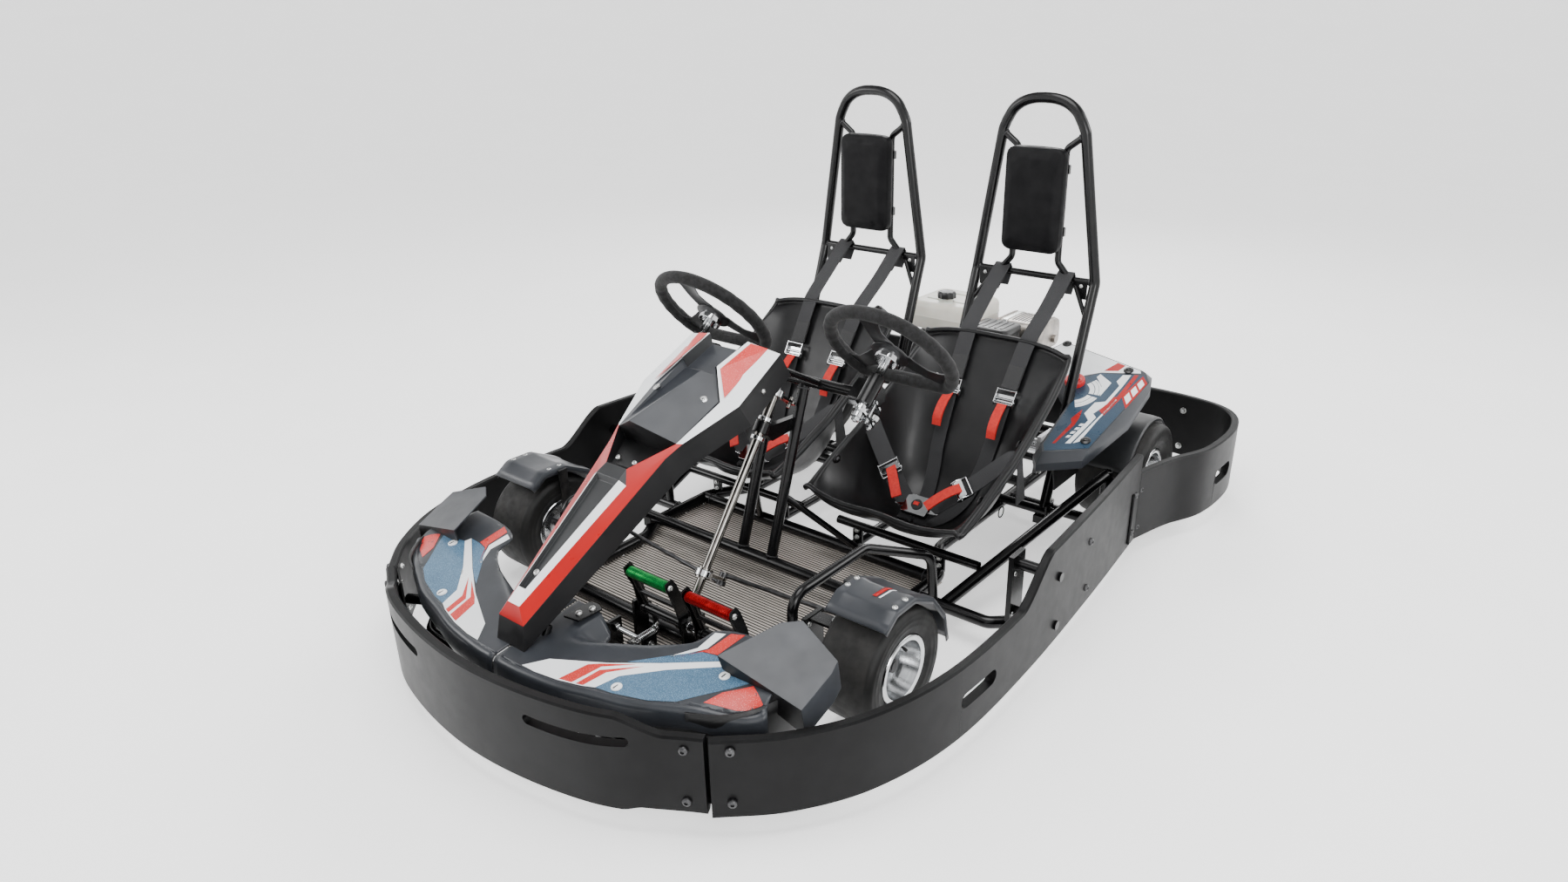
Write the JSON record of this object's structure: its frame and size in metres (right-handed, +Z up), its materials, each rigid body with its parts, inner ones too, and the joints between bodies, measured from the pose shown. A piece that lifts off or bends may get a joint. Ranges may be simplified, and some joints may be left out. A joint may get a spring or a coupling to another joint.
{
  "type": "two-seat rental kart",
  "caption": "Two-seat kart: tube chassis inside a plastic bumper ring, bucket seats with roll hoops and harnesses, twin linked steering wheels, rear engine and slick tyres.",
  "frame": {"origin": "on the ground under the middle of the bumper's outline", "axes": "-Y forward, +X to the driver's left, +Z up"},
  "size_m": [1.5378, 2.1497, 1.118],
  "materials": {
    "black_powder_coat": "gloss black powder coat",
    "cast_alloy": "cast, satin",
    "tray_aluminium": "ribbed, satin",
    "bumper_plastic": "moulded, matt black",
    "black_steel": "black oxide",
    "body_plastic": "moulded, slate grey with red, white and blue shapes",
    "pad_vinyl": "soft black vinyl",
    "seat_plastic": "moulded, satin black",
    "webbing": "woven dark grey",
    "engine_alloy": "cast",
    "engine_black": "black",
    "tank_plastic": "off-white",
    "exhaust_steel": "heat-stained",
    "chain_steel": "oiled",
    "zinc_steel": "zinc plated",
    "rim_aluminium": "polished",
    "tyre": "slick rubber",
    "axle_steel": "ground",
    "chrome_steel": "plated",
    "wheel_suede": "black suede grip",
    "pedal_green": "green anodised",
    "pedal_red": "red anodised",
    "cap_black": "knobbed",
    "cap_red": "red"
  },
  "bodies": {
    "chassis": {"main_rails": "black_powder_coat", "cross_members": "black_powder_coat", "front_loop": "black_powder_coat", "perimeter_rails": "black_powder_coat", "foot_guards": "black_powder_coat", "steering_support": "black_powder_coat", "kingpin_brackets": "black_powder_coat", "hoop_left": "black_powder_coat", "hoop_right": "black_powder_coat", "seat_frame": "black_powder_coat", "pedal_mount": "black_powder_coat", "engine_mount": "black_powder_coat", "axle_carriers": "cast_alloy", "floor_tray": "tray_aluminium", "front_bumper": "bumper_plastic", "side_bumper_left": "bumper_plastic", "side_bumper_right": "bumper_plastic", "rear_bumper": "bumper_plastic", "bumper_fixings": "black_steel", "front_pods": "body_plastic", "nose_fairing": "body_plastic", "rear_pod_left": "body_plastic", "rear_pod_right": "body_plastic", "head_pads": "pad_vinyl", "seat_left": "seat_plastic", "seat_right": "seat_plastic", "harnesses": "webbing", "engine_block": "engine_alloy", "engine_covers": "engine_black", "engine_tank": "tank_plastic", "air_filter": "engine_black", "silencer": "exhaust_steel", "drive_chain": "chain_steel", "brake_caliper": "cast_alloy"},
    "steering_column": {"steering_column": "chrome_steel"},
    "wheel_left": {"steering_wheel_left": "wheel_suede", "wheel_column_left": "chrome_steel"},
    "wheel_right": {"steering_wheel_right": "wheel_suede", "wheel_column_right": "chrome_steel"},
    "drag_link": {"drag_link": "zinc_steel"},
    "tie_rod_left": {"tie_rod_left": "zinc_steel"},
    "tie_rod_right": {"tie_rod_right": "zinc_steel"},
    "knuckle_left": {"knuckle_left": "zinc_steel", "fender_left": "body_plastic"},
    "knuckle_right": {"knuckle_right": "zinc_steel", "fender_right": "body_plastic"},
    "front_wheel_left": {"rim_front_left": "rim_aluminium", "tyre_front_left": "tyre"},
    "front_wheel_right": {"rim_front_right": "rim_aluminium", "tyre_front_right": "tyre"},
    "rear_axle": {"rear_axle": "axle_steel", "rear_rims": "rim_aluminium", "rear_tyres": "tyre", "chain_wheel": "chain_steel", "brake_disc": "axle_steel"},
    "clutch": {"clutch_drum": "engine_black"},
    "throttle_pedal": {"throttle_pedal": "pedal_green"},
    "brake_pedal": {"brake_pedal": "pedal_red"},
    "fuel_cap": {"fuel_cap": "cap_black"},
    "filler_cap": {"filler_cap": "cap_red"}
  },
  "joints": [
    {"name": "column_steer", "type": "hinge", "parent": "chassis", "child": "steering_column", "pos_m": [0.035, -0.5235, 0.1225], "axis": [0, 0.596, 0.803], "range_deg": [-40, 40]},
    {"name": "wheel_steer_left", "type": "hinge", "parent": "chassis", "child": "wheel_left", "pos_m": [0.263, -0.12, 0.61], "axis": [0, 0.7572, 0.6532], "range_deg": [-40.5, 40.5]},
    {"name": "knuckle_steer_left", "type": "hinge", "parent": "chassis", "child": "knuckle_left", "pos_m": [0.4, -0.495, 0.128], "axis": [0, 0, 1], "range_deg": [-26, 26]},
    {"name": "tie_rod_pivot_left", "type": "hinge", "parent": "steering_column", "child": "tie_rod_left", "pos_m": [0.035, -0.4397, 0.11796], "axis": [0, 0.596, 0.803], "range_deg": [-40.5, 40.5]},
    {"name": "front_wheel_spin_left", "type": "hinge", "parent": "knuckle_left", "child": "front_wheel_left", "pos_m": [0.5, -0.495, 0.128], "axis": [1, 0, 0], "continuous": true},
    {"name": "wheel_steer_right", "type": "hinge", "parent": "chassis", "child": "wheel_right", "pos_m": [-0.263, -0.12, 0.61], "axis": [0, 0.7572, 0.6532], "range_deg": [-40.5, 40.5]},
    {"name": "knuckle_steer_right", "type": "hinge", "parent": "chassis", "child": "knuckle_right", "pos_m": [-0.4, -0.495, 0.128], "axis": [0, 0, 1], "range_deg": [-26, 26]},
    {"name": "tie_rod_pivot_right", "type": "hinge", "parent": "steering_column", "child": "tie_rod_right", "pos_m": [0.035, -0.4397, 0.11796], "axis": [0, 0.596, 0.803], "range_deg": [-40.5, 40.5]},
    {"name": "front_wheel_spin_right", "type": "hinge", "parent": "knuckle_right", "child": "front_wheel_right", "pos_m": [-0.5, -0.495, 0.128], "axis": [1, 0, 0], "continuous": true},
    {"name": "drag_link_pivot", "type": "hinge", "parent": "wheel_left", "child": "drag_link", "pos_m": [0.263, -0.1818, 0.47747], "axis": [0, 0.7572, 0.6532], "range_deg": [-40.5, 40.5]},
    {"name": "axle_spin", "type": "hinge", "parent": "chassis", "child": "rear_axle", "pos_m": [0, 0.64, 0.141], "axis": [1, 0, 0], "continuous": true},
    {"name": "clutch_spin", "type": "hinge", "parent": "chassis", "child": "clutch", "pos_m": [0.08, 0.79, 0.282], "axis": [1, 0, 0], "continuous": true},
    {"name": "throttle_press", "type": "hinge", "parent": "chassis", "child": "throttle_pedal", "pos_m": [0, -0.64, 0.135], "axis": [1, 0, 0], "range_deg": [0, 20], "stiffness_Nm_per_rad": 2, "springref_deg": -28.65},
    {"name": "brake_press", "type": "hinge", "parent": "chassis", "child": "brake_pedal", "pos_m": [0, -0.64, 0.135], "axis": [1, 0, 0], "range_deg": [0, 18], "stiffness_Nm_per_rad": 6, "springref_deg": -22.92},
    {"name": "fuel_cap_turn", "type": "hinge", "parent": "chassis", "child": "fuel_cap", "pos_m": [-0.08, 0.695, 0.5143], "axis": [0, 0, 1], "range_deg": [-90, 0]},
    {"name": "filler_cap_turn", "type": "hinge", "parent": "chassis", "child": "filler_cap", "pos_m": [0.42, 0.53, 0.39271], "axis": [0, -0.3194, 0.9476], "range_deg": [-90, 0]}
  ],
  "couplings": [
    {"joint": "wheel_steer_left", "follows": "column_steer", "ratio": 1},
    {"joint": "knuckle_steer_left", "follows": "column_steer", "ratio": 0.635},
    {"joint": "tie_rod_pivot_left", "follows": "column_steer", "ratio": -1},
    {"joint": "wheel_steer_right", "follows": "column_steer", "ratio": 1},
    {"joint": "knuckle_steer_right", "follows": "column_steer", "ratio": 0.635},
    {"joint": "tie_rod_pivot_right", "follows": "column_steer", "ratio": -1},
    {"joint": "drag_link_pivot", "follows": "column_steer", "ratio": -1},
    {"joint": "clutch_spin", "follows": "axle_spin", "ratio": 2.75}
  ]
}
